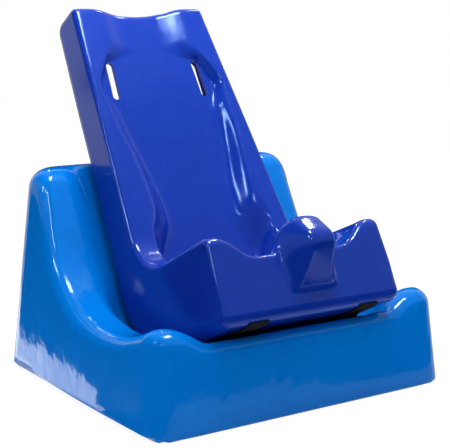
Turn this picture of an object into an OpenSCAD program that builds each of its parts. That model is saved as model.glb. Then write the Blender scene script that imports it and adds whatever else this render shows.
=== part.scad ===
// Two-piece feeder seat for a small child: a contoured seat that nests in a floor base.
// Millimetres, +Z up, +X to the child's left, +Y towards the seat's back.
// The origin is the centre of the base's footprint, on the floor.

/* [Base] */
// Width of the base on the floor
base_w = 394; // [370:1:430]
// Depth of the base on the floor, front to back
base_d = 360; // [345:1:400]
// Height of the base's side walls at the back
base_h = 238; // [225:1:250]
// Draft of all four outer walls, in degrees
base_draft = 5; // [3:0.5:7]
// Radius of the base's upright corners
base_corner_r = 26; // [18:1:36]
// Chamfer round the foot of the base
foot_chamfer = 3; // [2:0.5:5]
// Height of the side walls' lowest point
crest_low_h = 87; // [82:1:92]
// Distance of that lowest point from the base's back edge
crest_low_y = 242; // [234:1:250]
// Height of the bump at the front of each side wall
bump_h = 105; // [102:1:108]
// Radius of that bump, seen from the side
bump_r = 24; // [20:1:28]
// Radius of the side walls' curve up to the back
crest_r = 126; // [110:1:140]
// Slope at which the side walls rise to the back, in degrees
crest_slope = 64; // [58:1:68]
// Radius of the walls' rear crest towards the front
crest_top_r = 28; // [20:1:34]
// Radius of the walls' rear crest towards the back
crest_back_r = 22; // [14:1:24]

/* [Trough] */
// Width of the trough that takes the seat
trough_w = 284; // [268:1:300]
// Radius between the trough's floor and its sides
trough_fillet_r = 22; // [12:1:24]
// Flare of the trough's sides, in degrees
trough_flare = 6; // [0:1:8]

/* [Seat] */
// Height of the seat, measured up its own front face
seat_h = 440; // [420:1:450]
// Tilt of the seat in the base, in degrees
seat_tilt = 26.7; // [25:0.1:28]
// Distance of the seat's lower front edge from the base's back edge
seat_front_y = 365.2; // [360:0.2:370]
// Height of the seat's lower front edge above the floor
seat_front_z = 120.4; // [118:0.2:126]
// Width of the seat across the top of its back
seat_top_w = 185; // [178:1:192]
// How much the half width grows for each millimetre down
seat_taper = 0.06; // [0.05:0.005:0.065]
// Radius of the back's two upper corners, seen from the front
seat_corner_r = 22; // [14:1:30]
// Dip of the back's upper edge in the middle
top_dip = 6; // [3:0.5:9]
// Lean of the back's front ridge away from the front face, in degrees
ridge_lean = 6.5; // [5.5:0.1:7.5]
// Depth of that ridge behind the front face, at the seat's foot
ridge_u = 138; // [134:1:142]
// Lean of the back's rear face, in degrees
rear_lean = 5.2; // [4.5:0.1:6]
// Depth of the rear face behind the front face, at the seat's foot
rear_u = 207.5; // [204:0.5:212]
// Radius of the round under the seat's back
seat_round_r = 95; // [85:1:100]
// Drop of the seat's underside below the front edge
seat_drop = 10; // [6:1:11]
// Radius of the lower front edge
seat_edge_r = 12; // [8:1:14]
// Radius of the rear upper edge
seat_rear_top_r = 18; // [12:1:22]
// Radius of the front upper edge
seat_front_top_r = 6; // [4:1:9]

/* [Seat rim] */
// Height of the side rims
rim_h = 82; // [78:1:86]
// Radius of the side rims' front end
rim_front_r = 11; // [6:1:14]
// Radius of the curve from the rims up to the back
wing_r = 48; // [40:1:54]

/* [Bucket] */
// Height of the sitting surface
bucket_floor = 56; // [52:1:60]
// Half width of the flat sitting surface
bucket_flat = 58; // [52:1:62]
// Half width of the bucket between the rims
bucket_half_w = 95; // [90:1:98]
// Radius from the sitting surface to the backrest
bucket_back_r = 40; // [30:1:46]
// Half width of the bays that widen the channel round the slots
bay_half_w = 83; // [80:1:85]
// Length of those bays
bay_l = 96; // [86:1:104]
// Corner radius of the bays
bay_r = 30; // [22:1:36]
// Half width of the channel in the backrest, below the bays
channel_half_w = 72; // [70:1:76]
// Half width of the channel above the bays
neck_half_w = 61; // [56:1:68]
// Radius of the channel's two long corners
channel_r = 28; // [20:1:34]
// Lean of the channel's surface, in degrees
channel_lean = 2.9; // [2.5:0.1:3.3]
// Depth of the channel's surface behind the front face, at the seat's foot
channel_u = 178; // [175:0.5:180]

/* [Pommel] */
// Width of the pommel between the legs
pommel_w = 50; // [44:1:54]
// Height of the pommel's top
pommel_h = 91; // [86:1:94]
// How far the pommel's nose stands ahead of the front face
pommel_nose = 38; // [30:1:42]
// Radius of the nose
pommel_nose_r = 16; // [12:1:18]
// Radius of the pommel's top
pommel_top_r = 20; // [16:1:21]

/* [Strap slots] */
// Length of each shoulder slot
slot_l = 48; // [40:1:54]
// Width of each shoulder slot
slot_w = 8; // [6:0.5:9]
// Half distance between the slots' middles
slot_half_gap = 62; // [59:0.5:63]
// Height of the slots' middles up the seat
slot_h = 336; // [326:1:344]
// Splay of the slots towards their lower ends, in degrees
slot_splay = 2.7; // [0:0.1:4]
// Wall left in front of the pocket behind the slots
slot_wall = 4.4; // [4:0.2:4.6]
// Margin of that pocket round the slots
pocket_margin = 14; // [12:1:15]
// Corner radius of the pocket
pocket_r = 12; // [8:1:14]

/* [Skin and strips] */
// Thickness of the moulded skin
skin_t = 2.6; // [2.4:0.1:3.2]
// Gap between skin and foam
foam_gap = 0.3; // [0.2:0.05:0.5]
// Width of the hook and loop strips
strip_w = 25; // [20:1:38]
// Distance of the strips' middles from the centre line
strip_x = 73; // [60:1:76]
// Thickness of each strip
strip_t = 2; // [1.6:0.1:2.4]
// Glue line under each strip
glue_t = 0.2; // [0.1:0.05:0.3]
// Gap between hooks and loops
grip_gap = 0.3; // [0.3:0.05:0.6]
// Length of the hook strips up the seat's rear face
hook_rise = 130; // [100:1:150]
// Length of the loop strips up the trough's slope
loop_rise = 122; // [90:1:126]
// Distance of the loop strips' front ends behind the seat's front face
loop_front_u = 44; // [40:1:60]

/* [Hidden] */
$fn = 48;
arc_steps = 10;
core_inset = skin_t + foam_gap;
reach = 600;

// The seat's frame: X across, Y back from the front face, Z up along it
seat_y = base_d / 2 - seat_front_y;
round_w = seat_round_r - seat_drop;
round_u = rear_u + tan(rear_lean) * round_w - seat_round_r / cos(rear_lean);
round_sweep = 90 - rear_lean;
strip_stack = 2 * glue_t + 2 * strip_t + grip_gap;
trough_r = seat_round_r + strip_stack;

function arc(centre, r, a0, a1) = [
    for (i = [0:arc_steps])
        let (a = a0 + (a1 - a0) * i / arc_steps)
        centre + r * [cos(a), sin(a)]
];
function ridge_at(w) = ridge_u + tan(ridge_lean) * w;
function rear_at(w) = rear_u + tan(rear_lean) * w;
function channel_at(w) = channel_u + tan(channel_lean) * w;
function half_w_at(w) = seat_top_w / 2 + seat_taper * (seat_h - w);
function reversed(points) = [for (i = [len(points) - 1:-1:0]) points[i]];
function mirrored(points) = [for (p = reversed(points)) [-p[0], p[1]]];
function both_sides(points) = concat(points, mirrored(points));

module seat_frame() {
    translate([0, seat_y, seat_front_z])
        rotate([-seat_tilt, 0, 0])
            children();
}

// Runs a side outline across the width
module across(width) {
    rotate([90, 0, 90])
        linear_extrude(width, center = true)
            children();
}

// Runs a front outline back from y0 to y1
module backwards(y0, y1) {
    translate([0, y1, 0])
        rotate([90, 0, 0])
            linear_extrude(y1 - y0)
                children();
}

// Side outline of the whole seat, drawn in by t
module seat_side(t) {
    edge_c = [seat_edge_r, seat_edge_r - seat_drop];
    rear_w = seat_h - seat_rear_top_r;
    rear_c = [rear_at(rear_w) - seat_rear_top_r / cos(rear_lean), rear_w];
    top_w = seat_h - seat_front_top_r;
    top_c = [ridge_at(top_w) + seat_front_top_r / cos(ridge_lean), top_w];
    wing_w = rim_h + wing_r;
    wing_c = [ridge_at(wing_w) - wing_r / cos(ridge_lean), wing_w];
    rim_c = [rim_front_r, rim_h - rim_front_r];
    polygon(concat(
        arc(edge_c, seat_edge_r - t, 180, 270),
        arc([round_u, round_w], seat_round_r - t, -90, -rear_lean),
        arc(rear_c, seat_rear_top_r - t, -rear_lean, 90),
        arc(top_c, seat_front_top_r - t, 90, 180 - ridge_lean),
        arc(wing_c, wing_r + t, -ridge_lean, -90),
        arc(rim_c, rim_front_r - t, 90, 180)
    ));
}

// Front outline of the whole seat, drawn in by t
module seat_front(t) {
    lean = atan(seat_taper);
    corner_w = seat_h - seat_corner_r;
    corner_x = half_w_at(corner_w) - seat_corner_r / cos(lean);
    foot_w = -2 * seat_drop;
    right = concat(
        [[half_w_at(foot_w) - t / cos(lean), foot_w]],
        arc([corner_x, corner_w], seat_corner_r - t, lean, 90)
    );
    polygon(both_sides(right));
}

// Side outline of the space above the sitting surface and before the backrest, grown by t
module bucket_side(t) {
    back_w = bucket_floor + bucket_back_r;
    back_c = [channel_at(back_w) - bucket_back_r / cos(channel_lean), back_w];
    polygon(concat(
        [[-reach / 4, seat_h * 2], [-reach / 4, bucket_floor - t]],
        arc(back_c, bucket_back_r + t, -90, -channel_lean),
        [[channel_at(seat_h * 2) + t / cos(channel_lean), seat_h * 2]]
    ));
}

// Front outline of the bucket with its two leg troughs, grown by t
module bucket_front(t) {
    slope_x = bucket_half_w - bucket_flat;
    slope_w = rim_h - bucket_floor;
    right = [
        [bucket_flat + t / 2, bucket_floor - t],
        [bucket_flat + slope_x * 0.35 + t / 2, bucket_floor + slope_w * 0.22 - t],
        [bucket_flat + slope_x * 0.7 + t, bucket_floor + slope_w * 0.68 - t / 2],
        [bucket_half_w + t, rim_h],
        [bucket_half_w + t, seat_h * 2]
    ];
    polygon(both_sides(right));
}

// Plan outline of the bucket: open to the front, round at the back
module bucket_plan(t) {
    centre_u = channel_u - bucket_half_w + skin_t;
    right = concat([[bucket_half_w + t, -reach / 4]], arc([0, centre_u], bucket_half_w + t, 0, 90));
    polygon(both_sides(right));
}

// Channel in the backrest up to a height, with its surface on the backrest, grown by t
module channel(half_w, height, t) {
    right = concat(
        [[half_w + t, -reach / 3]],
        arc([half_w - channel_r, -channel_r], channel_r + t, 0, 90)
    );
    on_backrest()
        linear_extrude(height)
            polygon(both_sides(right));
}

module on_backrest() {
    translate([0, channel_u, 0])
        rotate([-channel_lean, 0, 0])
            children();
}

// Bays round the slots, grown by t
module bays(t) {
    half_w = bay_l / 2 - bay_r;
    on_backrest()
        translate([0, t, slot_h])
            rotate([90, 0, 0])
                linear_extrude(reach / 4)
                    polygon(both_sides(concat(
                        arc([bay_half_w - bay_r, -half_w], bay_r + t, -90, 0),
                        arc([bay_half_w - bay_r, half_w], bay_r + t, 0, 90)
                    )));
}

// Dip in the back's upper edge, grown by t
module dip(t) {
    half_x = seat_top_w / 2 - seat_corner_r;
    r = (half_x * half_x + top_dip * top_dip) / (2 * top_dip);
    swing = asin(half_x / r) * 1.2;
    backwards(0, reach)
        polygon(concat(
            arc([0, seat_h - top_dip + r], r + t, -90 - swing, -90 + swing),
            [[half_x, seat_h * 2], [-half_x, seat_h * 2]]
        ));
}

module bucket(t) {
    channel_front = ridge_u - wing_r;
    intersection() {
        across(reach) bucket_side(t);
        union() {
            intersection() {
                backwards(-reach / 4, reach / 2) bucket_front(t);
                linear_extrude(seat_h * 2) bucket_plan(t);
            }
            intersection() {
                union() {
                    channel(channel_half_w, slot_h, t);
                    channel(neck_half_w, seat_h * 2, t);
                }
                translate([-reach / 2, channel_front, 0]) cube([reach, reach, reach * 2]);
            }
        }
    }
}

// Side outline of the pommel, drawn in by t
module pommel_side(t) {
    nose_c = [pommel_nose_r - pommel_nose, pommel_h - pommel_nose_r * 2];
    top_c = [-pommel_top_r / 3, pommel_h - pommel_top_r];
    foot_u = seat_edge_r + t;
    polygon(concat(
        [[foot_u, t], [-pommel_nose_r / 4 + t, seat_edge_r + t]],
        arc(nose_c, pommel_nose_r - t, 215, 130),
        arc(top_c, pommel_top_r - t, 125, 50),
        [[bucket_back_r - t, bucket_floor - t], [bucket_back_r - t, t]]
    ));
}

// Front outline of the pommel, drawn in by t
module pommel_front(t) {
    top_x = pommel_w / 2 - pommel_top_r;
    right = concat(
        [[pommel_w / 2 - t, 0]],
        arc([top_x, pommel_h - pommel_top_r], pommel_top_r - t, 0, 90)
    );
    polygon(both_sides(right));
}

module pommel(t) {
    intersection() {
        across(pommel_w * 2) pommel_side(t);
        backwards(-reach / 4, reach / 4) pommel_front(t);
    }
}

module slot() {
    straight = slot_l / 2 - slot_w / 2;
    rotate([90, 0, 0])
        linear_extrude(reach / 2, center = true)
            union() {
                square([slot_w, 2 * straight], center = true);
                translate([0, straight]) circle(d = slot_w);
                translate([0, -straight]) circle(d = slot_w);
            }
}

module slots() {
    on_backrest()
        for (side = [-1, 1])
            translate([side * slot_half_gap, 0, slot_h])
                rotate([0, side * -slot_splay, 0])
                    slot();
}

// Pocket behind the slots, where straps cross the back, grown by t
module pocket(t) {
    half_x = slot_half_gap + pocket_margin - pocket_r;
    half_w = slot_l / 2 + pocket_margin - pocket_r;
    on_backrest()
        translate([0, reach / 4 + slot_wall - t, slot_h])
            rotate([90, 0, 0])
                linear_extrude(reach / 2, center = true)
                    polygon(both_sides(concat(
                        arc([half_x, -half_w], pocket_r + t, -90, 0),
                        arc([half_x, half_w], pocket_r + t, 0, 90)
                    )));
}

module seat_solid(t) {
    difference() {
        union() {
            difference() {
                intersection() {
                    across(reach) seat_side(t);
                    backwards(-reach / 4, reach) seat_front(t);
                }
                bucket(t);
            }
            pommel(t);
        }
        bays(t);
        dip(t);
        pocket(t);
    }
}

module seat_skin() {
    color("#2741b4")
        seat_frame()
            difference() {
                seat_solid(0);
                seat_solid(skin_t);
                slots();
            }
}

module seat_foam_core() {
    color("#e8dcae")
        seat_frame()
            seat_solid(core_inset);
}

// Side line that follows the seat's underside at radius r: floor, round and slope
function strip_line(r, front_len, rise) = concat(
    [[round_u - front_len, round_w - r]],
    arc([round_u, round_w], r, -90, -rear_lean),
    [[
        round_u + r * cos(rear_lean) + rise * sin(rear_lean),
        round_w - r * sin(rear_lean) + rise * cos(rear_lean)
    ]]
);

module strip(x, r, front_len, rise) {
    outer = strip_line(r + strip_t, front_len, rise);
    inner = strip_line(r, front_len, rise);
    seat_frame()
        translate([x, 0, 0])
            across(strip_w)
                polygon(concat(outer, reversed(inner)));
}

module hook_strip(side) {
    color("#17171a")
        strip(side * strip_x, seat_round_r + glue_t, round_u - seat_edge_r, hook_rise);
}

module hook_strip_right() {
    hook_strip(-1);
}

module hook_strip_left() {
    hook_strip(1);
}

module loop_strip(side) {
    color("#202024")
        strip(side * strip_x, trough_r - glue_t - strip_t, round_u - loop_front_u, loop_rise);
}

module loop_strip_right() {
    loop_strip(-1);
}

module loop_strip_left() {
    loop_strip(1);
}

// Section of the trough, with its floor at y = trough_r, grown by t
module trough_section(t, top) {
    foot_y = trough_r - trough_fillet_r;
    foot_x = trough_w / 2 - trough_fillet_r / cos(trough_flare);
    flare_x = (foot_y - top) * tan(trough_flare);
    right = concat(
        [[trough_w / 2 + flare_x + t, top]],
        arc([foot_x, foot_y], trough_fillet_r + t, -trough_flare, 90)
    );
    polygon(both_sides(right));
}

// Trough for the seat, grown by t: a floor, a round that laps into it, and a slope
module trough(t) {
    lap_a = 3;
    seat_frame()
        translate([0, round_u, round_w]) {
            rotate([90, 0, 0])
                linear_extrude(reach / 2)
                    mirror([0, 1]) trough_section(t, -reach / 4);
            rotate([90, 0, 90])
                rotate([0, 0, -90 - lap_a])
                    rotate_extrude(angle = round_sweep + 2 * lap_a)
                        intersection() {
                            rotate([0, 0, -90])
                                mirror([1, 0])
                                    trough_section(t, 0);
                            translate([0, -reach / 2])
                                square([reach, reach]);
                        }
            rotate([-rear_lean, 0, 0])
                linear_extrude(reach / 2)
                    trough_section(t, -reach / 4);
        }
}

// Side outline of the base between its drafted walls, drawn in by t
module base_side(t) {
    draft_run = tan(base_draft);
    bump_z = bump_h - bump_r;
    bump_c = [bump_r / cos(base_draft) + draft_run * bump_z, bump_z];
    rise = crest_low_h - bump_z;
    low_y = base_d - crest_low_y;
    run = low_y - bump_c[0];
    dip_r = (run * run + rise * rise - bump_r * bump_r) / (2 * (bump_r - rise));
    dip_c = [low_y, crest_low_h + dip_r];
    dip_a = atan2(bump_c[1] - dip_c[1], bump_c[0] - dip_c[0]);
    turn_a = -76;
    turn_c = dip_c + (dip_r - crest_r) * [cos(turn_a), sin(turn_a)];
    slope_p = turn_c + crest_r * [sin(crest_slope), -cos(crest_slope)];
    top_y = slope_p[0] + (base_h - slope_p[1]) / tan(crest_slope);
    back_y = base_d - draft_run * base_h;
    top_reach = tan(crest_slope / 2);
    back_reach = tan(45 - base_draft / 2);
    // Both rounds shrink together where the top is too short for them
    fit = min(1, (back_y - top_y) / (crest_top_r * top_reach + crest_back_r * back_reach));
    top_r = crest_top_r * fit;
    back_r = crest_back_r * fit;
    top_c = [top_y + top_r * top_reach, base_h - top_r];
    back_c = [back_y - back_r * back_reach, base_h - back_r];
    translate([-base_d / 2, 0])
        polygon(concat(
            [[-bump_r, -bump_r], [base_d + bump_r, -bump_r]],
            arc(back_c, back_r - t, base_draft, 90),
            arc(top_c, top_r - t, 90, 90 + crest_slope),
            arc(turn_c, crest_r + t, crest_slope - 90, turn_a),
            arc(dip_c, dip_r + t, turn_a, dip_a),
            arc(bump_c, bump_r - t, dip_a + 180, 180 - base_draft)
        ));
}

module corner_discs(z, inset, r) {
    for (x = [-1, 1])
        for (y = [-1, 1])
            translate([
                x * (base_w / 2 - base_corner_r - inset),
                y * (base_d / 2 - base_corner_r - inset),
                z
            ])
                cylinder(h = 0.01, r = r, $fn = 32);
}

// Block with drafted walls and round upright corners, drawn in by t
module base_block(t) {
    r = base_corner_r - t;
    hull() {
        corner_discs(t, foot_chamfer, r);
        corner_discs(t + foot_chamfer, 0, r);
        corner_discs(base_h * 1.2, base_h * 1.2 * tan(base_draft), r);
    }
}

module base_solid(t) {
    difference() {
        intersection() {
            base_block(t);
            across(reach) base_side(t);
        }
        trough(t);
    }
}

module base_skin() {
    color("#0f83d6")
        difference() {
            base_solid(0);
            base_solid(skin_t);
        }
}

module base_foam_core() {
    color("#e8dcae")
        base_solid(core_inset);
}

seat_skin();
seat_foam_core();
hook_strip_right();
hook_strip_left();
base_skin();
base_foam_core();
loop_strip_right();
loop_strip_left();
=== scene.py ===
from math import atan, cos, degrees, pi, radians, sin, tan

import bpy
import numpy as np
from mathutils import Matrix, Vector


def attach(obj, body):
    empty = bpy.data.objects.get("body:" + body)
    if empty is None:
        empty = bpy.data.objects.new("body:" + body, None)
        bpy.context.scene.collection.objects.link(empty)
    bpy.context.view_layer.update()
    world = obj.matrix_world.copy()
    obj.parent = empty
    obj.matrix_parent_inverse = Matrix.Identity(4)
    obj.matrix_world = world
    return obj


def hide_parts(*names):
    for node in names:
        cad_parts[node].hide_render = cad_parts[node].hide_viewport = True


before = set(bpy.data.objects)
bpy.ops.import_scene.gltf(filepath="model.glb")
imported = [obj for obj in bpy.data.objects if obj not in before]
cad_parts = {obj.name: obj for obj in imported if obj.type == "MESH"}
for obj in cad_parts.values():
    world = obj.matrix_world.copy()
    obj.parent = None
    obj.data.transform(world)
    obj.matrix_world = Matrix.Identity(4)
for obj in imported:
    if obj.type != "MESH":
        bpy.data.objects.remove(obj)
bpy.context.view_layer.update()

MM = 0.001

# Camera, at the photograph's place
camera_data = bpy.data.cameras.new("camera")
camera_data.lens = 95.36
camera_data.sensor_width = 36
camera = bpy.data.objects.new("camera", camera_data)
bpy.context.scene.collection.objects.link(camera)
bpy.context.scene.camera = camera
view_yaw = radians(34.02)
view_pitch = radians(9.867)
look = Vector((sin(view_yaw) * cos(view_pitch), cos(view_yaw) * cos(view_pitch), -sin(view_pitch)))
camera.location = (-0.7624, -1.1429, 0.4168)
camera.rotation_euler = look.to_track_quat("-Z", "Y").to_euler()

# Seat, in millimetres in its own frame: x across, u back from the front face, w up along the back
seat_origin = (0, -185.2, 120.4)
seat_tilt = radians(26.7)
seat_h = 440
seat_top_w, seat_taper = 185, 0.06
# Fronts of the side rims and of the recess between them, up the back
ridge_u, ridge_slope = 138, tan(radians(6.5))
channel_u, channel_slope = 180.7, 0.023
channel_turn_w, channel_turn_l, channel_turn = 345, 40, 0.09
# Rear face, and the round between it and the underside
rear_u, rear_lean = 207.5, radians(5.2)
round_r, seat_drop = 95, 10
round_w = round_r - seat_drop
round_u = rear_u + tan(rear_lean) * round_w - round_r / cos(rear_lean)
# Heights and radii along the side outline, in pairs where the rims come first and the recess second
rim_h, floor_h = 86, 60
knee_r, trough_edge_r = 11, 7
wing_r, bucket_r = 48, 40
front_edge_r, tip_r, rear_top_r = 12, 9, 18
top_dip, top_dip_half = 6, 74
# Half widths of the recess at its foot and at its crest, and up the backrest as (height, half width)
low_foot, low_crest = 50, 84
knee_foot, knee_crest = 54, 103
hip_foot, hip_crest = 68, 87
crest_line = [(118, 86), (160, 79), (325, 90), (390, 65)]
foot_line = [(105, 62), (165, 34), (300, 57), (340, 75), (368, 66), (400, 10)]
# How late the recess's wall rises, on the sitting surface and at the neck
sit_power, neck_power, neck_zone = 1.3, 1.35, (362, 402)
# Rough heights along the outline, for the seat's width there
front_top_w, bend_end_w, back_start_w, shoulder_w = 70, 120, 112, 250
rear_high_w, rear_low_w = 420, 80
# Radii of the side edges along the outline
sole_side_r, front_side_r, sit_side_r, back_side_r = 14, 9, 5, 4.5
tip_side_r, top_side_r, rear_top_side_r, rear_side_r = 6.5, 10, 15, 20
# Pommel
pommel_h, pommel_nose, pommel_foot_w = 93, 38, 13
nose_r, pommel_top_r, pommel_back_u = 16, 22, 46
pommel_half, pommel_flank, pommel_x = 33, 14, 3
nose_flank, top_flank, pommel_crown = 17, 22, 2.4
pommel_spread, pommel_foot_run = 1.5, 5
# The recess lies a little off the middle between these heights, as in the photograph
recess_drift, drift_start, drift_end = 7, (80, 150), (330, 230)
# Slots and the pocket behind them
slot_l, slot_w, slot_x, slot_height, slot_splay = 50, 9.2, 62, 341, radians(3)
slot_wall, slot_reach = 4.4, 60
pocket_margin, pocket_r, pocket_depth = 14, 12, 120
pocket_flare, pocket_rise = 0.4, 0.25
# Foam: its distance under the skin beside the skin's own thickness, and its room round the pocket
foam_gap, foam_room, foam_voxel = 1.4, 4, 5

# Base, in millimetres in the frame
base_half_w, base_half_d = 197, 180
base_h = 240.5
wall_lean, back_lean = radians(5), radians(3)
draft, back_draft = tan(wall_lean), tan(back_lean)
foot_r = 3
corner_r, back_corner_r, upper_corner_r = 26, 36, 44
# Crest of the side walls: a bump in front, a dip, a turn, a slope and the top
bump_h, bump_r = 108, 24
crest_low_h, crest_low_y = 86, 126
crest_turn = radians(-76)
crest_r, crest_slope = 126, radians(67)
crest_top_r, crest_back_r = 28, 22
# Trough and the lip in front of it
lip_h, lip_r, lip_soft = 90, 12, 6
trough_half, trough_r = 139, 99.7
trough_fillet_r, low_fillet_r = 48, 16
wall_outer_r, wall_inner_r, bump_inner_r, back_inner_r = 16, 12, 28, 8
# Where one shape fades into the next: y or x of its start and end
back_zone, fillet_zone, bump_zone = (95, 145), (-20, 50), (-120, -20)
lip_zone_x, lip_zone_y, back_zone_x = (165, 110), (-125, -145), (130, 100)
skin_t, base_foam_gap = 2.6, 0.3

# Tapes
tape_w, tape_t, tape_step, tape_x = 25, 2, 2.5, 73
selvedge_w, selvedge_t = 2.6, 0.18
hook_r, loop_r = round_r + 1.2, trough_r - 1.2


def steps(count, last=False):
    return np.linspace(0, 1, count, endpoint=last)


def ease(t):
    t = np.clip(t, 0, 1)
    return t * t * (3 - 2 * t)


def swept(t):
    """From 0 to 1 in two arcs, steeper and crisper than ease."""
    t = np.clip(t, 0, 1)
    return np.where(t < 0.5, 2 * t * t, 1 - 2 * (1 - t) ** 2)


def fade(at, start, end):
    """0 up to start and 1 past end, with a smooth rise between."""
    return ease((at - start) / (end - start))


def mix(a, b, t):
    return a + (b - a) * t


def along(line, at):
    """Smooth value between the (place, value) points of a line."""
    value = np.full(np.shape(at), float(line[0][1]))
    for (p0, v0), (p1, v1) in zip(line, line[1:]):
        value = value + (v1 - v0) * fade(at, p0, p1)
    return value


def deselect():
    if bpy.context.object and bpy.context.object.mode != "OBJECT":
        bpy.ops.object.mode_set(mode="OBJECT")
    bpy.ops.object.select_all(action="DESELECT")


def wrapped(name, rings, end_inset):
    """A grid wrapped round into a closed skin over rings of points, with a face at either end."""
    rings = np.asarray(rings)
    count, around = rings.shape[:2]
    deselect()
    bpy.ops.mesh.primitive_grid_add(x_subdivisions=around, y_subdivisions=count - 1, size=1)
    piece = bpy.context.object
    piece.name = piece.data.name = name
    wound = np.concatenate([rings, rings[:, :1]], axis=1)
    piece.data.vertices.foreach_set("co", (wound * MM).ravel())
    piece.data.update()
    bpy.ops.object.mode_set(mode="EDIT")
    bpy.ops.mesh.select_all(action="SELECT")
    bpy.ops.mesh.remove_doubles(threshold=0.00001)
    bpy.ops.mesh.select_all(action="DESELECT")
    bpy.ops.mesh.select_mode(type="EDGE")
    bpy.ops.mesh.select_non_manifold()
    bpy.ops.mesh.fill_holes(sides=0)
    bpy.ops.mesh.select_mode(type="FACE")
    bpy.ops.mesh.select_all(action="DESELECT")
    bpy.ops.mesh.select_face_by_sides(number=4, type="GREATER")
    bpy.ops.mesh.inset(thickness=end_inset * MM)
    bpy.ops.mesh.select_all(action="SELECT")
    bpy.ops.mesh.normals_make_consistent(inside=False)
    bpy.ops.object.mode_set(mode="OBJECT")
    return piece


def apply(piece, kind, **settings):
    """Adds a modifier, sets it and applies it."""
    deselect()
    bpy.context.view_layer.objects.active = piece
    piece.select_set(True)
    modifier = piece.modifiers.new(kind.lower(), kind)
    for key, value in settings.items():
        setattr(modifier, key, value)
    bpy.ops.object.modifier_apply(modifier=modifier.name)


def shade(piece, angle=40):
    deselect()
    bpy.context.view_layer.objects.active = piece
    piece.select_set(True)
    bpy.ops.object.shade_smooth_by_angle(angle=radians(angle))


def seat_to_frame(points):
    """Points (x, u, w) of the seat in the frame."""
    x, u, w = np.moveaxis(np.asarray(points, float), -1, 0)
    y = seat_origin[1] + u * cos(seat_tilt) + w * sin(seat_tilt)
    z = seat_origin[2] - u * sin(seat_tilt) + w * cos(seat_tilt)
    return np.stack([x + seat_origin[0], y, z], axis=-1)


def channel(w):
    """Depth of the recess: straight, then turning back towards the top."""
    past = w - channel_turn_w
    rounding = (past + channel_turn_l) ** 2 / (4 * channel_turn_l)
    turned = np.where(np.abs(past) < channel_turn_l, rounding, np.maximum(past, 0))
    return channel_u + channel_slope * w + channel_turn * turned


def half_w_at(w):
    return seat_top_w / 2 + seat_taper * (seat_h - w)


def arc(centre, r, a0, a1, count):
    a = mix(radians(a0), radians(a1), steps(count))
    return np.stack([centre[0] + r * np.cos(a), centre[1] + r * np.sin(a)], axis=-1)


def resampled(line, count):
    """Points evenly spaced along a line, both ends included."""
    line = np.asarray(line, float)
    run = np.concatenate([[0], np.cumsum(np.hypot(*np.diff(line, axis=0).T))])
    at = np.linspace(0, run[-1], count)
    return np.stack([np.interp(at, run, line[:, 0]), np.interp(at, run, line[:, 1])], axis=-1)


# Pommel's side line, from the front face round its nose and down to the sitting surface
pommel_line = np.concatenate([
    [(0, pommel_foot_w), (-1.5, pommel_foot_w + 3.5)],
    arc((nose_r - pommel_nose, pommel_h - 2 * nose_r), nose_r, 212, 130, 10),
    arc((-pommel_top_r / 3, pommel_h - pommel_top_r), pommel_top_r, 122, 48, 10),
    [(pommel_back_u - 10, floor_h + 5), (pommel_back_u, floor_h)],
])

# Points round the seat's side outline, by stretch, and how far the pommel reaches into two of them
N_EDGE, N_FRONT, N_KNEE, N_SIT, N_BEND, N_BACK = 9, 26, 10, 36, 18, 90
N_TIP, N_TOP, N_REAR_TOP, N_REAR, N_ROUND, N_UNDER = 7, 7, 9, 24, 26, 20
N_BELOW_POMMEL, N_BEHIND_KNEE = 6, 14


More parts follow.
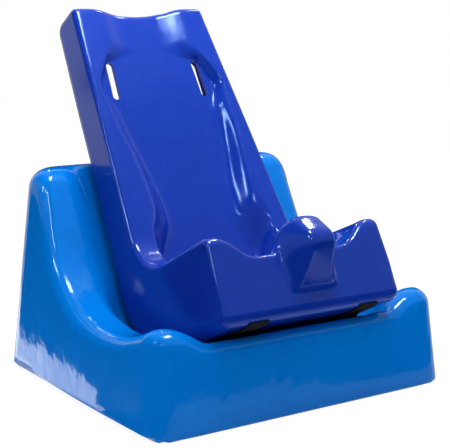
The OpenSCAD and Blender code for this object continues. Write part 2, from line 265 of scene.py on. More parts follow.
def seat_ring(zone, q):
    """One ring round the seat. Zones across: 0 recess, 1 its wall, 2 rim, 3 rounded side edge."""
    stretches = []

    def place(foot, crest, edge_r, w_guess, power):
        """Lateral place and recess factor of the ring."""
        side = half_w_at(w_guess) - edge_r
        if zone == 0:
            x, k = foot * q, np.zeros_like(foot)
        elif zone == 1:
            x, k = mix(foot, crest, q), swept(q ** power)
        else:
            k = np.ones_like(foot)
            x = mix(crest, side, q) if zone == 2 else side
        return x, k

    def add(t, foot, crest, edge_r, power, shape, w_guess):
        one = np.ones_like(t)
        foot, crest, edge_r, power = foot * one, crest * one, edge_r * one, power * one
        x, k = place(foot, crest, edge_r, w_guess * one, power)
        u, w = shape(t, x, k)
        stretches.append(np.stack([x, u, w, edge_r * one], axis=-1))

    def ridge(w):
        return ridge_u + ridge_slope * w

    def back(w, k):
        return mix(channel(w), ridge(w), k)

    def height(k):
        return mix(floor_h, rim_h, k)

    def edge_arc(t, x, k):
        a = radians(270) - radians(90) * t
        return front_edge_r * (1 + np.cos(a)), front_edge_r - seat_drop + front_edge_r * np.sin(a)

    def knee(k):
        return mix(trough_edge_r, knee_r, k)

    def front(t, x, k):
        return 0 * t, mix(front_edge_r - seat_drop, height(k) - knee(k), t)

    def knee_arc(t, x, k):
        a = pi - pi / 2 * t
        r = knee(k)
        return r * (1 + np.cos(a)), height(k) - r + r * np.sin(a)

    def bend_r(k):
        return mix(bucket_r, wing_r, k)

    def sit(t, x, k):
        return mix(knee(k), back(height(k), k) - bend_r(k), t ** 1.15), height(k) + 0 * t

    def bend(t, x, k):
        a = pi / 2 * t
        w = height(k) + bend_r(k) * (1 - np.cos(a))
        return back(w, k) - bend_r(k) * (1 - np.sin(a)), w

    def top_at(x):
        return seat_h - top_dip * ease(1 - np.abs(x) / top_dip_half)

    def backrest(t, x, k):
        w = mix(height(k) + bend_r(k), top_at(x) - tip_r, t)
        return back(w, k), w

    def tip(t, x, k):
        w0 = top_at(x) - tip_r
        a = pi - (pi / 2) * t
        return back(w0, k) + tip_r + tip_r * np.cos(a), w0 + tip_r * np.sin(a)

    rear_top_w = seat_h - rear_top_r
    rear_top_u = rear_u + tan(rear_lean) * rear_top_w - rear_top_r / cos(rear_lean)

    def top(t, x, k):
        u0 = back(top_at(x) - tip_r, k) + tip_r
        return mix(u0, rear_top_u, t), top_at(x)

    def rear_top(t, x, k):
        a = pi / 2 - (pi / 2 + rear_lean) * t
        w = rear_top_w - (seat_h - top_at(x))
        w = w * (1 - t) + rear_top_w * t
        return rear_top_u + rear_top_r * np.cos(a), w + rear_top_r * np.sin(a)

    def rear(t, x, k):
        w = mix(rear_top_w - rear_top_r * sin(rear_lean), round_w - round_r * sin(rear_lean), t)
        return rear_u + tan(rear_lean) * w, w

    def round_arc(t, x, k):
        a = -rear_lean - (pi / 2 - rear_lean) * t
        return round_u + round_r * np.cos(a), round_w + round_r * np.sin(a)

    def under(t, x, k):
        return mix(round_u, front_edge_r, t), -seat_drop + 0 * t

    t = steps(N_EDGE)
    add(t, low_foot, low_crest, mix(sole_side_r, front_side_r, t), 1, edge_arc, 0)
    t = steps(N_FRONT)
    foot, crest = mix(low_foot, knee_foot, t), mix(low_crest, knee_crest, ease(t))
    add(t, foot, crest, mix(front_side_r, sit_side_r, ease(t * 2)), 1, front, mix(0, front_top_w, t))
    t = steps(N_KNEE)
    add(t, knee_foot, knee_crest, sit_side_r, 1, knee_arc, rim_h)
    t = steps(N_SIT)
    to_hip = ease((t - 0.05) / 0.6)
    foot, crest = mix(knee_foot, hip_foot, to_hip), mix(knee_crest, hip_crest, to_hip)
    add(t, foot, crest, sit_side_r, mix(1, sit_power, to_hip), sit, rim_h)
    t = steps(N_BEND)
    foot, crest = mix(hip_foot, foot_line[0][1], ease(t)), mix(hip_crest, crest_line[0][1], ease(t))
    add(t, foot, crest, sit_side_r, sit_power, bend, mix(rim_h, bend_end_w, t))
    t = steps(N_BACK)
    w = mix(back_start_w, seat_h, t)
    power = mix(sit_power, neck_power, fade(w, *neck_zone))
    side_r = mix(back_side_r, tip_side_r, fade(w, shoulder_w, seat_h))
    add(t, along(foot_line, w), along(crest_line, w), side_r, power, backrest, w)
    foot, crest = foot_line[-1][1], crest_line[-1][1]
    add(steps(N_TIP), foot, crest, tip_side_r, neck_power, tip, seat_h)
    t = steps(N_TOP)
    add(t, foot, crest, mix(tip_side_r, top_side_r, ease(t)), neck_power, top, seat_h)
    t = steps(N_REAR_TOP)
    side_r = mix(top_side_r, rear_top_side_r, t)
    add(t, foot, crest, side_r, neck_power, rear_top, seat_h - rear_top_r / 2)
    t = steps(N_REAR)
    foot, crest = mix(foot, low_foot, t), mix(crest, low_crest, t)
    side_r = mix(rear_top_side_r, rear_side_r, ease(t))
    add(t, foot, crest, side_r, 1, rear, mix(rear_high_w, rear_low_w, t))
    t = steps(N_ROUND)
    add(t, low_foot, low_crest, rear_side_r, 1, round_arc, mix(rear_low_w, -seat_drop, ease(t)))
    t = steps(N_UNDER)
    side_r = mix(rear_side_r, sole_side_r, ease(t * 1.3 - 0.3))
    add(t, low_foot, low_crest, side_r, 1, under, -seat_drop)
    return np.concatenate(stretches)


def with_pommel(ring):
    """Draws the pommel out of the middle of the front face and the sitting surface."""
    x, u, w = ring[:, 0], ring[:, 1].copy(), ring[:, 2].copy()
    first = N_EDGE + N_BELOW_POMMEL
    last = N_EDGE + N_FRONT + N_KNEE + N_BEHIND_KNEE
    line = resampled(pommel_line, last - first)
    part = slice(first, last)
    across = np.abs(x[part] - pommel_x)
    flank = mix(nose_flank, top_flank, ease(steps(last - first) * 3))
    out = ease((pommel_half + pommel_spread - across) / flank)
    up = np.clip(1 - (across / pommel_half) ** pommel_crown, 0, 1) ** 0.5
    foot = ease((pommel_half + pommel_flank / 2 - across) / pommel_flank)
    up = mix(up, foot * 0.5, fade(across, pommel_half - pommel_foot_run, pommel_half))
    u[part] = mix(u[part], line[:, 0], out)
    w[part] = mix(w[part], line[:, 1], up)
    return np.stack([x, u, w], axis=-1)


def drawn_in(ring, amount):
    """The ring moved inwards in its own plane."""
    u, w = ring[:, 1], ring[:, 2]
    tu = np.roll(u, -1) - np.roll(u, 1)
    tw = np.roll(w, -1) - np.roll(w, 1)
    length = np.hypot(tu, tw)
    moved = ring.copy()
    moved[:, 1] = u + tw / length * amount
    moved[:, 2] = w - tu / length * amount
    return moved


def drifted(ring):
    """Moves the recess a little across, but not the seat's side edges."""
    x, w = ring[:, 0], ring[:, 2]
    window = fade(w, *drift_start) * fade(w, *drift_end)
    moved = ring.copy()
    moved[:, 0] += recess_drift * window * np.clip(1 - (x / half_w_at(w)) ** 4, 0, 1)
    return moved


def seat_rings():
    """Rings from the seat's one side to the other."""
    middle, wall, rim, edge = 30, 14, 6, 7
    half = []
    for q in steps(middle):
        half.append(seat_ring(0, q ** 1.2)[:, :3])
    for q in steps(wall):
        half.append(seat_ring(1, q)[:, :3])
    for q in steps(rim):
        half.append(seat_ring(2, q)[:, :3])
    side = seat_ring(3, 0)
    r = side[:, 3]
    for q in steps(edge, last=True):
        a = q * pi / 2
        ring = drawn_in(side[:, :3], r * (1 - cos(a)))
        ring[:, 0] = half_w_at(ring[:, 2]) - r + r * sin(a)
        half.append(ring)
    other = [ring * (-1, 1, 1) for ring in half[:0:-1]]
    return np.asarray([drifted(with_pommel(ring)) for ring in other + half])


def cutter(name, size, corner):
    """A block at the origin with its four edges along y rounded."""
    deselect()
    bpy.ops.mesh.primitive_cube_add(size=1)
    block = bpy.context.object
    block.name = name
    block.scale = [s * MM for s in size]
    bpy.ops.object.transform_apply(location=False, rotation=False, scale=True)
    bpy.ops.object.mode_set(mode="EDIT")
    bpy.ops.mesh.select_mode(type="EDGE")
    bpy.ops.mesh.select_all(action="DESELECT")
    bpy.ops.object.mode_set(mode="OBJECT")
    for e in block.data.edges:
        a, b = (block.data.vertices[i].co for i in e.vertices)
        e.select = abs((a - b).y) > 0.5 * size[1] * MM
    bpy.ops.object.mode_set(mode="EDIT")
    bpy.ops.mesh.bevel(offset=corner * MM, segments=8)
    bpy.ops.object.mode_set(mode="OBJECT")
    return block


def cut(piece, block):
    apply(piece, "BOOLEAN", operation="DIFFERENCE", object=block, solver="EXACT")
    bpy.data.objects.remove(block)


def on_backrest(x, out, w):
    """Matrix of a place on the channel's face: its y runs back out of the face."""
    lean = seat_tilt + atan(float(channel(w + 5.0) - channel(w - 5.0)) / 10)
    at = Vector(seat_to_frame([x, float(channel(w)), w]))
    normal = Vector((0, cos(lean), -sin(lean)))
    return Matrix.Translation(at * MM + normal * out * MM) @ Matrix.Rotation(-lean, 4, "X")


def flare_out(block, before):
    """Widens a cutter to both sides and upwards, from before its middle to its rear."""
    for v in block.data.vertices:
        run = max(v.co.y + before * MM, 0)
        v.co.x += run * pocket_flare * (1 if v.co.x > 0 else -1)
        v.co.z += run * pocket_rise * (v.co.z > 0)


def moved_in(piece, depth):
    apply(piece, "DISPLACE", strength=-depth * MM, mid_level=0, direction="NORMAL")


def copied(piece, name):
    copy = piece.copy()
    copy.data = piece.data.copy()
    copy.name = copy.data.name = name
    bpy.context.scene.collection.objects.link(copy)
    return copy


# The seat's skin, and its foam before the skin gets its pocket and slots
seat_shell = wrapped("seat_shell", seat_to_frame(seat_rings()), end_inset=1)
seat_foam = copied(seat_shell, "seat_foam")
apply(seat_foam, "REMESH", mode="VOXEL", voxel_size=foam_voxel * MM, adaptivity=0)
apply(seat_foam, "SMOOTH", factor=0.5, iterations=2)
moved_in(seat_foam, skin_t + foam_gap)
apply(seat_foam, "REMESH", mode="VOXEL", voxel_size=foam_voxel * MM, adaptivity=0)
pocket_w, pocket_l = 2 * (slot_x + pocket_margin), slot_l + 2 * pocket_margin
room_w, room_l = pocket_w + 2 * foam_room, pocket_l + 2 * foam_room
opening = cutter("opening", (room_w, 2 * pocket_depth, room_l), pocket_r)
flare_out(opening, 0)
opening.data.transform(on_backrest(0, 0, slot_height))
cut(seat_foam, opening)
pocket = cutter("pocket", (pocket_w, pocket_depth, pocket_l), pocket_r)
flare_out(pocket, pocket_depth / 2)
pocket.data.transform(on_backrest(0, slot_wall + pocket_depth / 2, slot_height))
cut(seat_shell, pocket)
for side in (-1, 1):
    slot = cutter("slot", (slot_w, slot_reach, slot_l), slot_w / 2 - 0.01)
    splayed = Matrix.Rotation(-side * slot_splay, 4, "Y")
    slot.data.transform(on_backrest(side * slot_x, 0, slot_height) @ splayed)
    cut(seat_shell, slot)
shade(seat_shell)

# Points round half of the base's section, by stretch
N_SOLE, N_WALL, N_CROWN, N_INNER, N_FLOOR = 12, 26, 16, 34, 30


def crest_parts():
    """Centres and joins of the arcs along the side walls' crest, from the front face back."""
    bump_z = bump_h - bump_r
    bump_c = (bump_r / cos(wall_lean) + draft * bump_z, bump_z)
    rise = crest_low_h - bump_z
    run = crest_low_y - bump_c[0]
    dip_r = (run * run + rise * rise - bump_r * bump_r) / (2 * (bump_r - rise))
    dip_c = (crest_low_y, crest_low_h + dip_r)
    reach = dip_r - crest_r
    turn_c = (dip_c[0] + reach * cos(crest_turn), dip_c[1] + reach * sin(crest_turn))
    slope_p = (turn_c[0] + crest_r * sin(crest_slope), turn_c[1] - crest_r * cos(crest_slope))
    top_y = slope_p[0] + (base_h - slope_p[1]) / tan(crest_slope)
    top_c = (top_y + crest_top_r * tan(crest_slope / 2), base_h - crest_top_r)
    return bump_c, dip_c, dip_r, turn_c, slope_p, top_c


bump_c, dip_c, dip_r, turn_c, slope_p, top_c = crest_parts()
bump_end = bump_c[0] + bump_r * (dip_c[0] - bump_c[0]) / (dip_r + bump_r)
turn_start = turn_c[0] + crest_r * cos(crest_turn)


def crest_at(y):
    """Height of the side walls' crest."""
    f = y + base_half_d
    on_bump = bump_c[1] + np.sqrt(np.clip(bump_r ** 2 - (f - bump_c[0]) ** 2, 0, None))
    on_dip = dip_c[1] - np.sqrt(np.clip(dip_r ** 2 - (f - dip_c[0]) ** 2, 0, None))
    on_turn = turn_c[1] - np.sqrt(np.clip(crest_r ** 2 - (f - turn_c[0]) ** 2, 0, None))
    on_slope = slope_p[1] + (f - slope_p[0]) * tan(crest_slope)
    on_top = top_c[1] + np.sqrt(np.clip(crest_top_r ** 2 - (f - top_c[0]) ** 2, 0, None))
    top_start = top_c[0] - crest_top_r * sin(crest_slope)
    z = np.where(f < bump_c[0], bump_h, on_bump)
    z = np.where(f > bump_end, on_dip, z)
    z = np.where(f > turn_start, on_turn, z)
    z = np.where(f > slope_p[0], on_slope, z)
    z = np.where(f > top_start, on_top, z)
    return np.where(f > top_c[0], base_h, z)


# The trough's round lies on the seat's own, between a floor and a slope
centre = seat_to_frame([0, round_u, round_w])
floor_end = seat_to_frame([0, round_u, round_w - trough_r])
slope_u, slope_w = round_u + trough_r * cos(rear_lean), round_w - trough_r * sin(rear_lean)
slope_start = seat_to_frame([0, slope_u, slope_w])
slope_run = tan(seat_tilt + rear_lean)


def trough_at(y):
    """Height of the trough's floor along its middle."""
    on_floor = floor_end[2] - (y - floor_end[1]) * tan(seat_tilt)
    on_round = centre[2] - np.sqrt(np.clip(trough_r ** 2 - (y - centre[1]) ** 2, 0, None))
    on_slope = slope_start[2] + (y - slope_start[1]) / slope_run
    z = np.where(y < floor_end[1], on_floor, on_round)
    z = np.where(y > slope_start[1], on_slope, z)
    over = np.clip(lip_soft - np.abs(z - lip_h), 0, None)
    return np.where(y < 0, np.minimum(z, lip_h) - over * over / (4 * lip_soft), z)


def rounded(a, b, r):
    """Distance to what lies inside both a and b, with an edge of radius r between them."""
    corner = np.hypot(np.maximum(a + r, 0), np.maximum(b + r, 0))
    return np.minimum(np.maximum(a, b), -r) + corner


def level(height, y):
    """Distance above a surface that is height(y) high."""
    run = 0.5
    slope = (height(y + run) - height(y - run)) / (2 * run)
    return lambda z: (z - height(y)) / np.sqrt(1 + slope * slope)


def base_distance(p):
    """Distance of the places p from the base's skin, below 0 inside it."""
    x, y, z = np.abs(p[:, 0]), p[:, 1], p[:, 2]
    up = np.clip(z / base_h, 0, 1)
    turn = np.where(y < 0, corner_r, mix(back_corner_r, upper_corner_r, up))
    lean = np.where(y < 0, draft, back_draft)
    dx = x - (base_half_w - draft * z) + turn
    dy = np.abs(y) - (base_half_d - lean * z) + turn
    corner = np.hypot(np.maximum(dx, 0), np.maximum(dy, 0))
    block = corner + np.minimum(np.maximum(dx, dy), 0) - turn
    crest = level(crest_at, y)(z)
    to_back = fade(y, *back_zone)
    outside = rounded(block, crest, mix(wall_outer_r, crest_back_r, to_back))
    tall = crest_at(y) - trough_at(y)
    fillet = np.clip(tall * 1.2, low_fillet_r, trough_fillet_r)
    fillet = mix(fillet, trough_fillet_r, fade(y, *fillet_zone))
    trough = rounded(x - trough_half, -level(trough_at, y)(z), fillet)
    lip = fade(x, *lip_zone_x) * fade(y, *lip_zone_y)
    inner_r = mix(mix(bump_inner_r, wall_inner_r, fade(y, *bump_zone)), lip_r, lip)
    inner_r = mix(inner_r, back_inner_r, to_back * fade(x, *back_zone_x))
    return rounded(rounded(outside, -trough, inner_r), -z, foot_r)


def drawn_onto(points, distance, depth=0, rounds=8):
    """The points moved onto the surface that lies depth below a distance function's skin."""
    points = points.copy()
    d, longest, least_steep = 0.2, 6, 0.25
    for _ in range(rounds):
        here = distance(points)
        slope = np.stack([
            (distance(points + step) - distance(points - step)) / (2 * d) for step in np.eye(3) * d
        ], axis=-1)
        steep = np.maximum((slope * slope).sum(axis=1), least_steep)
        move = slope * ((here + depth) / steep)[:, None]
        shorten = np.maximum(np.linalg.norm(move, axis=1) / longest, 1)
        points -= move / shorten[:, None]
    return points


def base_section(y):
    """Half of the base's rough section, from the sole's middle to the trough's middle."""
    crest = float(crest_at(np.array(y)))
    trough = min(float(trough_at(np.array(y))), crest - 1)
    wall = base_half_w - draft * crest
    inner_x, floor_x = trough_half + 14, trough_half - 16
    t_sole, t_wall, t_crown = steps(N_SOLE), steps(N_WALL), steps(N_CROWN)
    t_inner, t_floor = steps(N_INNER), steps(N_FLOOR, last=True)
    return np.concatenate([
        np.stack([base_half_w * t_sole ** 0.6, 0 * t_sole], axis=-1),
        np.stack([mix(base_half_w, wall, t_wall), crest * t_wall], axis=-1),
        np.stack([mix(wall, inner_x, t_crown), crest + 0 * t_crown], axis=-1),
        np.stack([mix(inner_x, floor_x, t_inner), mix(crest, trough, t_inner)], axis=-1),
        np.stack([floor_x * (1 - t_floor), trough + 0 * t_floor], axis=-1),
    ])


def base_rings():
    """Rough rings from the base's front to its back, shrinking over both end faces."""
    stations, cap, cap_scale = 120, 14, 0.55
    front, back = -base_half_d, base_half_d
    first, last = front + 6, back - 22
    places = [(front, mix(cap_scale, 1, q)) for q in steps(cap)]
    places += [(mix(front, back, q), 1) for q in steps(stations, last=True)]
    places += [(back, mix(1, cap_scale, q)) for q in steps(cap, last=True)[1:]]
    out = []
    for y, scale in places:
        half = base_section(min(max(y, first), last))
        ring = np.concatenate([half, half[-2:0:-1] * (-1, 1)])
        middle = half[N_SOLE + N_WALL, 1] * 0.4
        x = ring[:, 0] * scale
        z = middle + (ring[:, 1] - middle) * scale
        lean = draft * z * (1 if y < 0 else -1) * abs(y) / base_half_d
        out.append(np.stack([x, y + lean, z], axis=-1))
    return np.asarray(out)


def vertices_of(piece):
    co = np.empty(len(piece.data.vertices) * 3)
    piece.data.vertices.foreach_get("co", co)
    return co.reshape(-1, 3) / MM


def set_vertices(piece, points):
    piece.data.vertices.foreach_set("co", (points * MM).ravel())
    piece.data.update()


def make_base():
    """The base's rings drawn onto its shape and evened out in turns."""
    base = wrapped("base_shell", base_rings(), end_inset=1.5)
    for _ in range(4):
        set_vertices(base, drawn_onto(vertices_of(base), base_distance))
        apply(base, "SMOOTH", factor=0.5, iterations=8)
    set_vertices(base, drawn_onto(vertices_of(base), base_distance))
    return base


base_shell = make_base()
shade(base_shell)
base_foam = copied(base_shell, "base_foam")
foam_depth = skin_t + base_foam_gap
set_vertices(base_foam, drawn_onto(vertices_of(base_foam), base_distance, depth=foam_depth))


def tape_line(r, wrap, front_u, rise):
    """Side line of a tape: round the front edge, under the seat, round the rear edge and up."""
    front = (front_edge_r, front_edge_r - seat_drop)
    parts = [np.array([(front_u, round_w - r)])]
    if wrap:
        parts = [arc(front, front_edge_r + r - round_r, -90 - wrap, -90, 10)]
    run = steps(30)
    parts.append(np.stack([mix(front_u, round_u, run), round_w - r + 0 * run], axis=-1)[1:])
    parts.append(arc((round_u, round_w), r, -90, -degrees(rear_lean), 50))
    end = round_u + r * cos(rear_lean), round_w - r * sin(rear_lean)
    run = steps(20, last=True)
    end_u = end[0] + tan(rear_lean) * (rise - end[1]) * run
    parts.append(np.stack([end_u, mix(end[1], rise, run)], axis=-1))
    line = np.concatenate(parts)
    length = np.hypot(*np.diff(line, axis=0).T).sum()
    return resampled(line, int(length / tape_step))


def tape_section():
    """Round the tape's own section: across, and out from its middle, with thicker woven edges."""
    half, thick, r = tape_w / 2, tape_t / 2, tape_t * 0.45
    across = np.linspace(-half + r, half - r, 15)
    selvedge = selvedge_t * (np.abs(across) > half - selvedge_w)
    top = np.stack([across, thick - selvedge_t + selvedge], axis=-1)
    right = [(half - r + r * cos(a), thick * sin(a)) for a in (radians(50), 0, radians(-50))]
    bottom = np.stack([across[::-1], -thick + 0 * across], axis=-1)
    left = [(-x, -w) for x, w in right]
    return np.concatenate([top, right, bottom, left])


def make_tape(name, x, line, rough_edge):
    """A tape along a side line, its edges straying a little."""
    tangent = np.gradient(line, axis=0)
    tangent /= np.hypot(*tangent.T)[:, None]
    out = np.stack([tangent[:, 1], -tangent[:, 0]], axis=-1)
    section = tape_section()
    rings = []
    for i, (place, normal) in enumerate(zip(line, out)):
        stray = rough_edge * (sin(i * 2.4) + sin(i * 0.9) * 0.6)
        side = section[:, 0] * (1 + stray / tape_w)
        rings.append(np.stack([
            x + side, place[0] + normal[0] * section[:, 1], place[1] + normal[1] * section[:, 1]
        ], axis=-1))
    return wrapped(name, seat_to_frame(rings), end_inset=0.2)


# Hook tapes under the seat and loop tapes in the trough
hook_line = tape_line(hook_r, wrap=32, front_u=front_edge_r, rise=130)
loop_line = tape_line(loop_r, wrap=0, front_u=44, rise=122)
tapes = []
for side, word in ((-1, "right"), (1, "left")):
    hook = make_tape("hook_tape_" + word, side * tape_x, hook_line, 0.25)
    loop = make_tape("loop_tape_" + word, side * tape_x, loop_line, 0.35)
    tapes += [(hook, "seat", "hook"), (loop, "base", "loop")]


# Materials
def new_group(name, inputs, outputs):
    """A shader node group; inputs are (name, kind, value) and outputs are (name, kind)."""
    group = bpy.data.node_groups.new(name, "ShaderNodeTree")
    for label, kind, value in inputs:
        socket = group.interface.new_socket(name=label, in_out="INPUT", socket_type=kind)
        socket.default_value = value
    for label, kind in outputs:
        group.interface.new_socket(name=label, in_out="OUTPUT", socket_type=kind)
    return group


def add_node(tree, kind, inputs=(), **settings):
    """Adds a node; inputs are (socket, value or the output that feeds it)."""
    node = tree.nodes.new("ShaderNode" + kind)
    for key, value in settings.items():
        setattr(node, key, value)
    for socket, value in inputs:
        if isinstance(value, bpy.types.NodeSocket):
            tree.links.new(value, node.inputs[socket])
        else:
            node.inputs[socket].default_value = value
    return node


def noise(tree, place, scale, detail, roughness=0.5):
    made = add_node(tree, "TexNoise", [
        ("Vector", place), ("Scale", scale), ("Detail", detail), ("Roughness", roughness)
    ])
    return made.outputs["Fac"]


def calculated(tree, operation, *values):
    node = add_node(tree, "Math", list(enumerate(values)), operation=operation)
    return node.outputs["Value"]


def spread(tree, value, low, high, to_low=0.0, to_high=1.0):
    """The value's range from low to high, stretched smoothly over another one."""
    node = add_node(tree, "MapRange", [
        ("Value", value), ("From Min", low), ("From Max", high),
        ("To Min", to_low), ("To Max", to_high)
    ], interpolation_type="SMOOTHSTEP")
    return node.outputs["Result"]


def blended(tree, amount, a, b):
    node = add_node(tree, "Mix", data_type="RGBA")
    for socket, value in ((0, amount), (6, a), (7, b)):
        if isinstance(value, bpy.types.NodeSocket):
            tree.links.new(value, node.inputs[socket])
        else:
            node.inputs[socket].default_value = value
    return node.outputs[2]


def dipped_vinyl_group():
    """Skin of vinyl dipped over foam: waves, orange peel, runs, colour drift and small scuffs."""
    group = new_group("dipped_vinyl", [
        ("Colour", "NodeSocketColor", (0.5, 0.5, 0.5, 1)),
        ("Deep", "NodeSocketColor", (0.4, 0.4, 0.4, 1)),
        ("Pale", "NodeSocketColor", (0.7, 0.7, 0.7, 1)),
        ("Wave", "NodeSocketFloat", 0.5),
        ("Peel", "NodeSocketFloat", 0.1),
        ("Runs", "NodeSocketFloat", 0.0),
        ("Smooth", "NodeSocketFloat", 0.2),
        ("Rough", "NodeSocketFloat", 0.3),
        ("Scuffs", "NodeSocketFloat", 0.1),
    ], [
        ("Colour", "NodeSocketColor"),
        ("Roughness", "NodeSocketFloat"),
        ("Height", "NodeSocketFloat"),
    ])
    given = group.nodes.new("NodeGroupInput").outputs
    result = group.nodes.new("NodeGroupOutput").inputs
    place = add_node(group, "TexCoord").outputs["Object"]
    drift = noise(group, place, 5, 2)
    mottle = noise(group, place, 90, 3, 0.6)
    waves = noise(group, place, 26, 1.5)
    swells = noise(group, place, 9, 1)
    wrinkles = noise(group, place, 75, 1)
    peel = noise(group, place, 420, 1.5)
    specks = noise(group, place, 1500, 1)
    downwards = add_node(group, "Mapping", [("Vector", place), ("Scale", (60, 60, 9))])
    runs = noise(group, downwards.outputs["Vector"], 1, 2)
    slanting = add_node(group, "Mapping", [
        ("Vector", place), ("Scale", (40, 210, 120)), ("Rotation", (0.5, 0.2, 0.9))
    ])
    scratches = noise(group, slanting.outputs["Vector"], 1, 4, 0.7)
    scratches = spread(group, scratches, 0.62, 0.74)
    scuffed = calculated(group, "MULTIPLY", scratches, spread(group, drift, 0.45, 0.7))
    marks = calculated(group, "MULTIPLY", scuffed, given["Scuffs"])
    tone = blended(group, spread(group, drift, 0.3, 0.7), given["Deep"], given["Colour"])
    tone = blended(group, spread(group, mottle, 0.45, 0.95, 0, 0.5), tone, given["Pale"])
    tone = blended(group, marks, tone, given["Pale"])
    group.links.new(tone, result["Colour"])
    gloss = add_node(group, "MapRange", [
        ("Value", mottle), ("From Min", 0.3), ("From Max", 0.75),
        ("To Min", given["Smooth"]), ("To Max", given["Rough"])
    ]).outputs["Result"]
    group.links.new(calculated(group, "MULTIPLY_ADD", marks, 0.5, gloss), result["Roughness"])
    swell = calculated(group, "MULTIPLY_ADD", swells, 2.5, waves)
    swell = calculated(group, "MULTIPLY_ADD", wrinkles, 0.35, swell)
    height = calculated(group, "MULTIPLY", swell, given["Wave"])
    height = calculated(group, "MULTIPLY_ADD", runs, given["Runs"], height)
    fine = calculated(group, "MULTIPLY_ADD", specks, 0.3, peel)
    height = calculated(group, "MULTIPLY_ADD", fine, given["Peel"], height)
    group.links.new(height, result["Height"])
    return group


dipped_vinyl = dipped_vinyl_group()


def new_material(name):
    material = bpy.data.materials.new(name)
    material.use_nodes = True
    return material, material.node_tree, material.node_tree.nodes["Principled BSDF"]


def bumped(tree, shader, height, depth):
    bump = add_node(tree, "Bump", [("Height", height), ("Distance", depth), ("Strength", 1.0)])
    tree.links.new(bump.outputs["Normal"], shader.inputs["Normal"])


def vinyl(name, specular, tint, depth, values):
    material, tree, shader = new_material(name)
    skin = tree.nodes.new("ShaderNodeGroup")
    skin.node_tree = dipped_vinyl
    for label, value in values.items():
        skin.inputs[label].default_value = value
    tree.links.new(skin.outputs["Colour"], shader.inputs["Base Color"])
    tree.links.new(skin.outputs["Roughness"], shader.inputs["Roughness"])
    shader.inputs["Specular IOR Level"].default_value = specular
    shader.inputs["Specular Tint"].default_value = tint
    bumped(tree, shader, skin.outputs["Height"], depth)
    return material


def foam_material():
    material, tree, shader = new_material("foam_cells")
    place = add_node(tree, "TexCoord").outputs["Object"]
    cells = add_node(tree, "TexVoronoi", [("Vector", place), ("Scale", 900)]).outputs["Distance"]
    drift = noise(tree, place, 12, 3)
    colour = blended(tree, drift, (0.62, 0.52, 0.3, 1), (0.8, 0.73, 0.5, 1))
    # The cell pattern is the foam's own, but the darker pit bottoms, which follow the bump's depth,
    # are painted shade in the foam's hollows
    colour = blended(tree, spread(tree, cells, 0.1, 0.6), (0.35, 0.28, 0.14, 1), colour)
    tree.links.new(colour, shader.inputs["Base Color"])
    shader.inputs["Roughness"].default_value = 0.95
    shader.inputs["Specular IOR Level"].default_value = 0.1
    bumped(tree, shader, cells, 0.0008)
    return material


def tape_material(name, dark, light, rows, columns, depth):
    """Woven tape with hooks or loops; its rows follow the tape's own length."""
    material, tree, shader = new_material(name)
    woven = add_node(tree, "UVMap").outputs["UV"]
    mapping = add_node(tree, "Mapping", [("Vector", woven), ("Scale", (columns, rows, 1))])
    grid = mapping.outputs["Vector"]
    tufts = add_node(tree, "TexVoronoi", [("Vector", grid), ("Scale", 1), ("Randomness", 0.35)])
    fuzz = noise(tree, grid, 3, 3, 0.7)
    height = calculated(tree, "MULTIPLY_ADD", fuzz, 0.6, tufts.outputs["Distance"])
    # The tuft pattern is the tape's own, but lighter tops and darker hollows, following the bump's
    # height, are painted light and shade over the weave
    colour = blended(tree, spread(tree, height, 0.3, 1.1), dark, light)
    tree.links.new(colour, shader.inputs["Base Color"])
    shader.inputs["Roughness"].default_value = 0.82
    shader.inputs["Specular IOR Level"].default_value = 0.12
    bumped(tree, shader, height, depth)
    return material


seat_vinyl = vinyl("seat_vinyl", specular=0.3, tint=(0.36, 0.58, 1, 1), depth=0.0012, values={
    "Colour": (0.004, 0.033, 0.365, 1),
    "Deep": (0.003, 0.029, 0.325, 1),
    "Pale": (0.012, 0.047, 0.43, 1),
    "Wave": 0.18, "Peel": 0.025, "Runs": 0.0, "Smooth": 0.1, "Rough": 0.17, "Scuffs": 0.25,
})
base_vinyl = vinyl("base_vinyl", specular=0.18, tint=(0.5, 0.75, 1, 1), depth=0.0016, values={
    "Colour": (0.0, 0.2, 0.735, 1),
    "Deep": (0.0, 0.182, 0.68, 1),
    "Pale": (0.0, 0.24, 0.84, 1),
    "Wave": 0.6, "Peel": 0.012, "Runs": 0.12, "Smooth": 0.07, "Rough": 0.13, "Scuffs": 0.15,
})
foam = foam_material()
hook_dark, hook_light = (0.002, 0.002, 0.003, 1), (0.014, 0.014, 0.016, 1)
loop_dark, loop_light = (0.003, 0.003, 0.004, 1), (0.03, 0.03, 0.034, 1)
tape_materials = {
    "hook": tape_material("hook_tape", hook_dark, hook_light, rows=160, columns=34, depth=0.0006),
    "loop": tape_material("loop_tape", loop_dark, loop_light, rows=110, columns=24, depth=0.0009),
}
# Every CAD node is replaced; this is its finish wherever it is still shown
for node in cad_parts.values():
    node.data.materials.clear()
    node.data.materials.append(foam)

# What each piece rides on, replaces and takes its finish from
pieces = [
    (seat_shell, "seat", "seat_skin", seat_vinyl, "seat_vinyl"),
    (seat_foam, "seat", "seat_foam_core", foam, "foam"),
    (base_shell, "base", "base_skin", base_vinyl, "base_vinyl"),
    (base_foam, "base", "base_foam_core", foam, "foam"),
]
for piece, body, node, material, slot_name in pieces:
    piece.data.materials.append(material)
    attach(piece, body)
    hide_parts(node)
for piece, body, kind in tapes:
    shade(piece)
    piece.data.materials.append(tape_materials[kind])
    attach(piece, body)
    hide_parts(piece.name.replace("tape", "strip"))

# Floor, light and background
white = (1, 1, 1, 1)
ambient_level, floor_level = 0.42, 0.87


def seen_directly(tree):
    """1 for what the camera sees, also in a reflection or through glass."""
    paths = tree.nodes.new("ShaderNodeLightPath").outputs
    seen = calculated(tree, "MAXIMUM", paths["Is Camera Ray"], paths["Is Glossy Ray"])
    return calculated(tree, "MAXIMUM", seen, paths["Is Transmission Ray"])


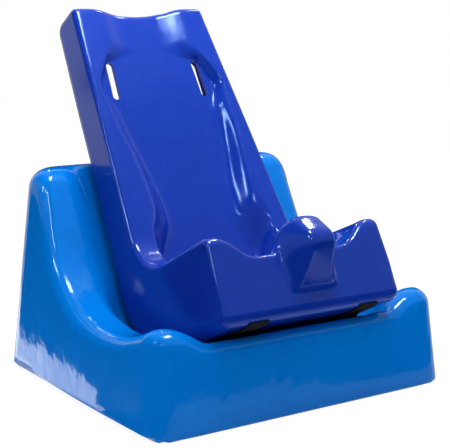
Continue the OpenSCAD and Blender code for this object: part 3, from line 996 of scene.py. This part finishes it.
deselect()
bpy.ops.mesh.primitive_plane_add(size=9)
floor = bpy.context.object
floor.name = "floor"
floor_paint, paint, plain = new_material("floor_paint")
plain.inputs["Base Color"].default_value = (0.8, 0.8, 0.8, 1)
plain.inputs["Roughness"].default_value = 0.9
plain.inputs["Specular IOR Level"].default_value = 0
shadow = add_node(paint, "BsdfDiffuse", [("Color", (0.3, 0.3, 0.3, 1))])
glow = add_node(paint, "Emission", [("Color", white), ("Strength", floor_level)])
seen_floor = add_node(paint, "AddShader", [(0, shadow.outputs["BSDF"]), (1, glow.outputs["Emission"])])
choice = add_node(paint, "MixShader", [
    (0, seen_directly(paint)), (1, plain.outputs["BSDF"]), (2, seen_floor.outputs["Shader"])
])
paint.links.new(choice.outputs["Shader"], paint.nodes["Material Output"].inputs["Surface"])
floor.data.materials.append(floor_paint)


def card_paint(name, shade_of_grey):
    material, tree, shader = new_material(name)
    shader.inputs["Base Color"].default_value = (shade_of_grey, shade_of_grey, shade_of_grey, 1)
    shader.inputs["Roughness"].default_value = 1
    shader.inputs["Specular IOR Level"].default_value = 0
    return material


def card(name, start, end, low, high, paint):
    """A card standing over the line from start to end, seen only in reflections."""
    deselect()
    bpy.ops.mesh.primitive_plane_add(size=1)
    piece = bpy.context.object
    piece.name = name
    corners = [(*start, low), (*end, low), (*start, high), (*end, high)]
    piece.data.vertices.foreach_set("co", [value for corner in corners for value in corner])
    piece.data.update()
    piece.data.materials.append(paint)
    piece.visible_camera = piece.visible_diffuse = piece.visible_shadow = False


# Dark cards beside the object: start and end on the floor, height of the lower and upper edge
near_black, grey = card_paint("card_black", 0.01), card_paint("card_grey", 0.2)
card("card_left", (-0.205, -0.25), (-0.35, 0.7), 0, 0.2, near_black)
card("card_side", (-0.2, -0.2), (-0.212, -0.03), 0, 0.04, near_black)
card("card_high", (-0.215, -0.25), (-0.36, 0.7), 0.32, 0.8, grey)
card("card_front", (-0.25, -0.362), (1.3, -0.3), 0, 0.2, near_black)
card("card_low", (0.09, -0.285), (0.5, -0.18), 0, 0.03, near_black)
card("card_corner", (-0.205, -0.25), (-0.25, -0.362), 0, 0.2, near_black)
card("card_back", (-0.05, 0.7), (1.35, 0.7), 0, 0.7, near_black)

world = bpy.data.worlds.new("studio")
bpy.context.scene.world = world
world.use_nodes = True
sky = world.node_tree
ambient = sky.nodes["Background"]
ambient.inputs["Color"].default_value = white
ambient.inputs["Strength"].default_value = ambient_level
backdrop = add_node(sky, "Background", [("Color", white), ("Strength", 1.0)])
choice = add_node(sky, "MixShader", [
    (0, seen_directly(sky)), (1, ambient.outputs["Background"]), (2, backdrop.outputs["Background"])
])
sky.links.new(choice.outputs["Shader"], sky.nodes["World Output"].inputs["Surface"])


aim_h = 0.2


def lamp(name, azimuth, elevation, distance, size, strength, use):
    """Soft light or gloss towards the object; its azimuth is from the front, to the left below 0."""
    data = bpy.data.lights.new(name, "AREA")
    data.shape = "RECTANGLE"
    data.size, data.size_y = size
    data.energy = strength * size[0] * size[1] * pi
    light = bpy.data.objects.new(name, data)
    bpy.context.scene.collection.objects.link(light)
    a, e = radians(azimuth), radians(elevation)
    out = Vector((sin(a) * cos(e), -cos(a) * cos(e), sin(e)))
    light.location = Vector((0, 0, aim_h)) + out * distance
    light.rotation_euler = (-out).to_track_quat("-Z", "Y").to_euler()
    light.visible_camera = False
    light.visible_diffuse = use == "soft"
    light.visible_glossy = use == "gloss"
    return light


# Direction from the object, distance, size and strength
lamp("key", 20, 84, 0.72, (0.6, 0.6), 6.6, "soft")
lamp("left_window", -88, 30, 1.8, (0.5, 0.9), 2.5, "soft")
lamp("key_gloss", 10, 82, 1.2, (0.52, 0.34), 75, "gloss")
lamp("left_gloss", -80, 37, 1.8, (0.14, 0.4), 100, "gloss")
lamp("front_gloss", -45, 33, 1.8, (0.1, 0.42), 65, "gloss")
lamp("right_gloss", 119, 51, 1.8, (0.09, 0.3), 90, "gloss")
lamp("back_gloss", 160, 40, 1.8, (0.09, 0.22), 45, "gloss")
# A strip on the floor beside the base, shining up, which its side wall mirrors
floor_gloss = lamp("floor_gloss", 0, 90, 1.0, (0.076, 0.76), 3.6, "gloss")
floor_gloss.location = (-0.239, 0.32, 0.004)
floor_gloss.rotation_euler = (pi, 0, 0)

bpy.context.scene.view_settings.view_transform = "Standard"
